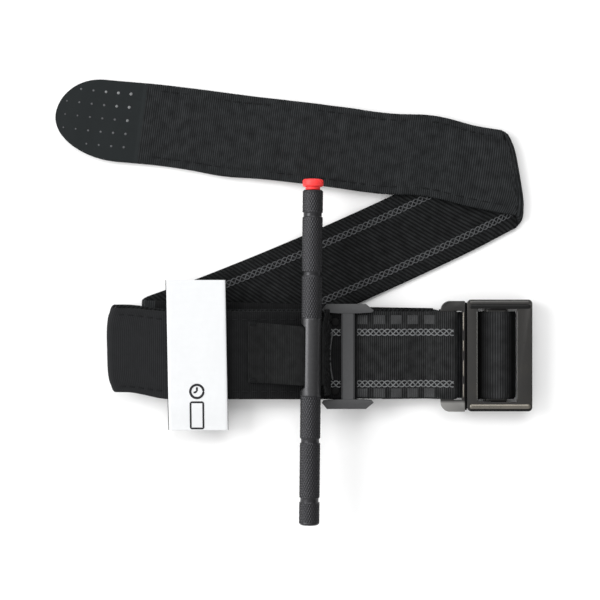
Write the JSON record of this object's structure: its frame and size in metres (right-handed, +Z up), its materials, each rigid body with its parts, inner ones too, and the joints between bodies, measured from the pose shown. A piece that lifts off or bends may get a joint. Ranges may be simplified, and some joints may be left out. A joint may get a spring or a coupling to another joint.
{
  "type": "windlass tourniquet",
  "caption": "Windlass tourniquet laid out flat: black webbing loop with hooked slide-bar buckle, knurled metal windlass rod with red end cap, keeper, white write-on strap and folded tail.",
  "frame": {"origin": "on the surface it lies on, under the middle of its box", "axes": "+X along the limb loop towards the buckle, +Y across it towards the folded tail, +Z up from the surface"},
  "size_m": [0.204, 0.1895, 0.0233],
  "materials": {
    "webbing_black": "woven black nylon webbing, matt",
    "cover_black": "ribbed black cover webbing",
    "band_black": "fine ribbed black tape",
    "tip_black": "heat pressed webbing with a grid of small dots",
    "rod_grey": "dark anodised, diamond knurled",
    "cap_red": "red, moulded",
    "keeper_grey": "dark grey, moulded",
    "rivet_black": "black",
    "plate_clear": "thin stiff sheet inside the cover",
    "steel_dark": "dark gunmetal coating, worn bright on its edges",
    "bar_dark": "dark coated bar",
    "label_white": "smooth white write-on tape",
    "backing_black": "black hook and loop tape"
  },
  "bodies": {
    "strap": {"grip_webbing": "webbing_black", "loop_cover": "cover_black", "stiffener_plate": "plate_clear", "left_fold_outer": "cover_black", "under_run": "webbing_black", "return_run": "webbing_black", "left_fold_lower": "webbing_black", "diagonal_run": "webbing_black", "right_fold": "webbing_black", "tail_run": "webbing_black", "tail_tip": "tip_black", "hook_end_loop": "webbing_black", "tension_band_anchor": "band_black", "tension_band_left": "band_black", "tension_band_right": "band_black", "keeper_bracket": "keeper_grey", "keeper_rivets": "rivet_black", "label_backing": "backing_black"},
    "windlass": {"windlass_rod": "rod_grey", "windlass_end_cap": "cap_red", "tension_band_slot": "band_black"},
    "label": {"label_strap": "label_white"},
    "hook": {"hook_plate": "steel_dark"},
    "buckle": {"buckle_frame": "steel_dark"},
    "bar": {"slide_bar": "bar_dark", "bar_loop": "webbing_black"}
  },
  "joints": [
    {"name": "windlass_spin", "type": "hinge", "parent": "strap", "child": "windlass", "pos_m": [0.0075, -0.02445, 0.019], "axis": [0, 0, 1], "range_deg": [-180, 180], "deforming": ["tension_band_left", "tension_band_right"]},
    {"name": "label_lift", "type": "hinge", "parent": "strap", "child": "label", "pos_m": [-0.04085, 0.0083, 0.01175], "axis": [-1, 0, 0], "range_deg": [0, 135]},
    {"name": "hook_plate_tilt", "type": "hinge", "parent": "strap", "child": "hook", "pos_m": [0.0659, -0.024, 0.0077], "axis": [0, -1, 0], "range_deg": [0, 25], "deforming": ["hook_end_loop"]},
    {"name": "buckle_tilt", "type": "hinge", "parent": "hook", "child": "buckle", "pos_m": [0.07385, -0.0241, 0.009], "axis": [0, -1, 0], "range_deg": [0, 60], "deforming": ["bar_loop"]},
    {"name": "slide_bar_travel", "type": "slide", "parent": "buckle", "child": "bar", "axis": [1, 0, 0], "range_m": [-0.002, 0.002]}
  ]
}
